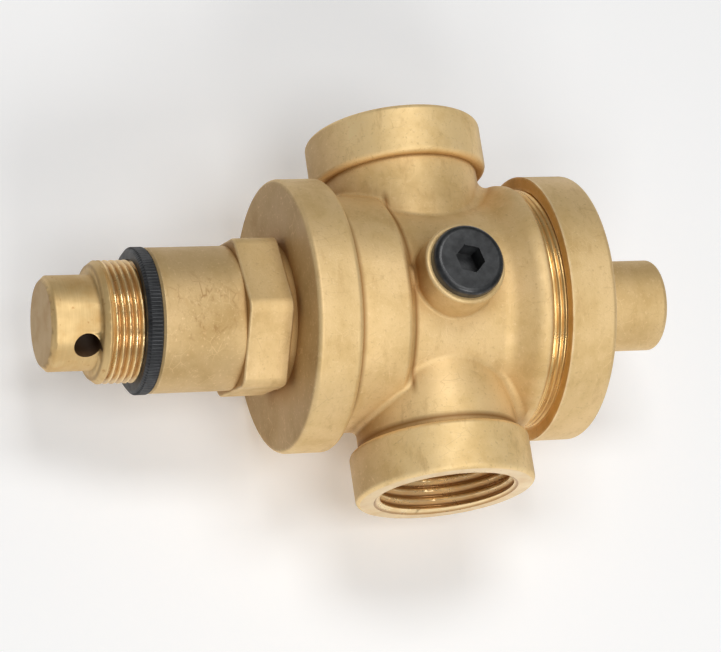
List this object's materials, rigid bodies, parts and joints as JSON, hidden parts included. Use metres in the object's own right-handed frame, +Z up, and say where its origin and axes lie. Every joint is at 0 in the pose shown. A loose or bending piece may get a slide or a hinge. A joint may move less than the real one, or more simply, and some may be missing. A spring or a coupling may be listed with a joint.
{
  "type": "pressure reducing valve",
  "caption": "Brass pressure reducing valve with female pipe ports in line, a spring bonnet with adjusting screw and lock ring, a plugged gauge port and a bottom cap.",
  "frame": {"origin": "centre of the inlet's mouth, on the pipe's axis", "axes": "+Y along the pipe from inlet to outlet, +X along the spring axis from adjusting screw to bottom cap, +Z up out of the gauge port"},
  "size_m": [0.149, 0.088, 0.0672],
  "materials": {
    "forged_brass": "blasted forging, matt",
    "forged_brass_bonnet": "blasted forging, matt",
    "forged_brass_cap": "blasted forging, matt",
    "machined_brass": "fine turned",
    "turned_brass": "fine turned",
    "black_plastic_ring": "moulded, finely ribbed",
    "black_plastic_plug": "moulded, slight sheen",
    "zinc_steel": "zinc plated",
    "spring_steel": "drawn wire",
    "stainless_nuts": "turned stainless",
    "stainless_seat": "ground stainless",
    "black_rubber": "moulded rubber",
    "white_plastic": "turned plastic"
  },
  "bodies": {
    "root": {"body": "forged_brass", "bonnet": "forged_brass_bonnet", "bonnet_seal": "black_rubber", "seat_ring": "stainless_seat", "seat_seal": "black_rubber", "guide_bush": "white_plastic", "bottom_cap": "forged_brass_cap", "cap_seal": "black_rubber", "gauge_plug": "black_plastic_plug", "gauge_plug_seal": "black_rubber", "spring": "spring_steel"},
    "spring_seat": {"spring_button": "zinc_steel"},
    "screw": {"adjusting_screw": "machined_brass"},
    "locking": {"lock_ring": "black_plastic_ring"},
    "moving_stem": {"stem": "turned_brass", "piston": "turned_brass", "piston_seal": "black_rubber", "wear_band": "white_plastic", "spring_plate": "zinc_steel", "piston_nut": "stainless_nuts", "clamp_nut": "stainless_nuts", "clamp_washer": "stainless_nuts", "disc_seal": "black_rubber", "balance_seal": "black_rubber"}
  },
  "joints": [
    {"name": "adjuster_feed", "type": "slide", "parent": "root", "child": "spring_seat", "axis": [1, 0, 0], "range_m": [-0.006, 0.006], "deforming": ["spring"]},
    {"name": "adjuster_turn", "type": "hinge", "parent": "spring_seat", "child": "screw", "pos_m": [-0.08, 0.044, 0], "axis": [1, 0, 0], "range_deg": [-1440, 1440]},
    {"name": "lock_ring_turn", "type": "hinge", "parent": "root", "child": "locking", "pos_m": [-0.068, 0.044, 0], "axis": [1, 0, 0], "range_deg": [-360, 0]},
    {"name": "stem_slide", "type": "slide", "parent": "root", "child": "moving_stem", "axis": [1, 0, 0], "range_m": [-0.005, 0], "stiffness_N_per_m": 20000, "springref_m": 0.012}
  ],
  "couplings": [
    {"joint": "adjuster_turn", "follows": "adjuster_feed", "rad_per_m": 4188.8}
  ]
}
